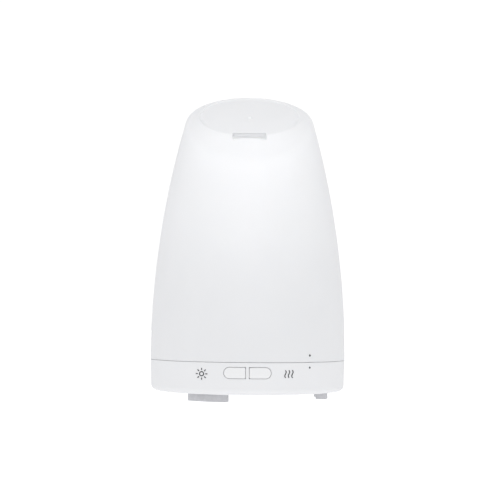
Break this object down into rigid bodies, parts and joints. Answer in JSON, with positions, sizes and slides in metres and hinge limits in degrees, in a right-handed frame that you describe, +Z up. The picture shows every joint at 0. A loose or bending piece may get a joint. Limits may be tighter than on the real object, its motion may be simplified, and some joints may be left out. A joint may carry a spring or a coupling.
{
  "type": "essential oil diffuser",
  "caption": "Small ultrasonic aroma diffuser: round base with push buttons, water tank, and a tall tapering lift-off cover with a slanted top and mist outlet.",
  "frame": {"origin": "centre of the base, on the surface that its feet stand on", "axes": "+Z up; the buttons and the low side of the slanted top face -Y; +X is to the right seen from the front"},
  "size_m": [0.089, 0.089, 0.1438],
  "materials": {
    "cover_plastic": "fine satin, slightly translucent polypropylene",
    "base_plastic": "fine satin polypropylene",
    "inner_plastic": "smooth satin",
    "button_plastic": "smooth satin",
    "print": "matte ink",
    "foot_rubber": "matte",
    "seal_silicone": "matte",
    "steel": "satin",
    "aluminium": "satin",
    "disc_metal": "satin nickel",
    "circuit_board": "solder mask",
    "white_board": "white solder mask",
    "led_package": "satin",
    "black_plastic": "satin",
    "ferrite": "matte",
    "copper": "enamelled wire",
    "bronze": "sintered",
    "socket_plastic": "satin",
    "wire_insulation": "satin"
  },
  "bodies": {
    "base": {"base_housing": "base_plastic", "tank_body": "inner_plastic", "tank_gasket": "seal_silicone", "foot_front_left": "foot_rubber", "foot_right": "foot_rubber", "foot_rear_left": "foot_rubber", "base_screws": "steel", "transducer_disc": "disc_metal", "transducer_seal": "seal_silicone", "transducer_clamp": "aluminium", "clamp_screws": "steel", "led_board": "white_board", "leds": "led_package", "led_board_screws": "steel", "main_board": "circuit_board", "board_chip": "black_plastic", "board_inductor": "ferrite", "board_capacitors": "aluminium", "heat_sink": "aluminium", "board_connectors": "socket_plastic", "board_screws": "steel", "switch_board": "circuit_board", "light_switch": "black_plastic", "mist_switch": "black_plastic", "fan_housing": "black_plastic", "fan_stator": "copper", "fan_bearing": "bronze", "fan_screws": "steel", "dc_jack": "black_plastic", "jack_contacts": "steel", "jack_wires": "wire_insulation", "fan_wires": "wire_insulation", "transducer_wires": "wire_insulation", "led_wires": "wire_insulation", "switch_wires": "wire_insulation", "base_dot": "print", "light_icon": "print", "mist_icon": "print"},
    "cover": {"outer_cover": "cover_plastic", "mist_funnel": "inner_plastic", "cover_dot": "print"},
    "light_key": {"light_button": "button_plastic", "light_plunger": "black_plastic"},
    "mist_key": {"mist_button": "button_plastic", "mist_plunger": "black_plastic"},
    "impeller": {"fan_rotor": "black_plastic", "fan_magnet": "ferrite", "fan_shaft": "steel"}
  },
  "joints": [
    {"name": "cover_lift", "type": "slide", "parent": "base", "child": "cover", "axis": [0, 0, 1], "range_m": [0, 0.06]},
    {"name": "light_press", "type": "slide", "parent": "base", "child": "light_key", "axis": [0, 1, 0], "range_m": [0, 0.0005], "stiffness_N_per_m": 3000},
    {"name": "mist_press", "type": "slide", "parent": "base", "child": "mist_key", "axis": [0, 1, 0], "range_m": [0, 0.0005], "stiffness_N_per_m": 3000},
    {"name": "fan_spin", "type": "hinge", "parent": "base", "child": "impeller", "pos_m": [-0.02, 0, 0.0063], "axis": [0, 0, 1], "continuous": true}
  ]
}
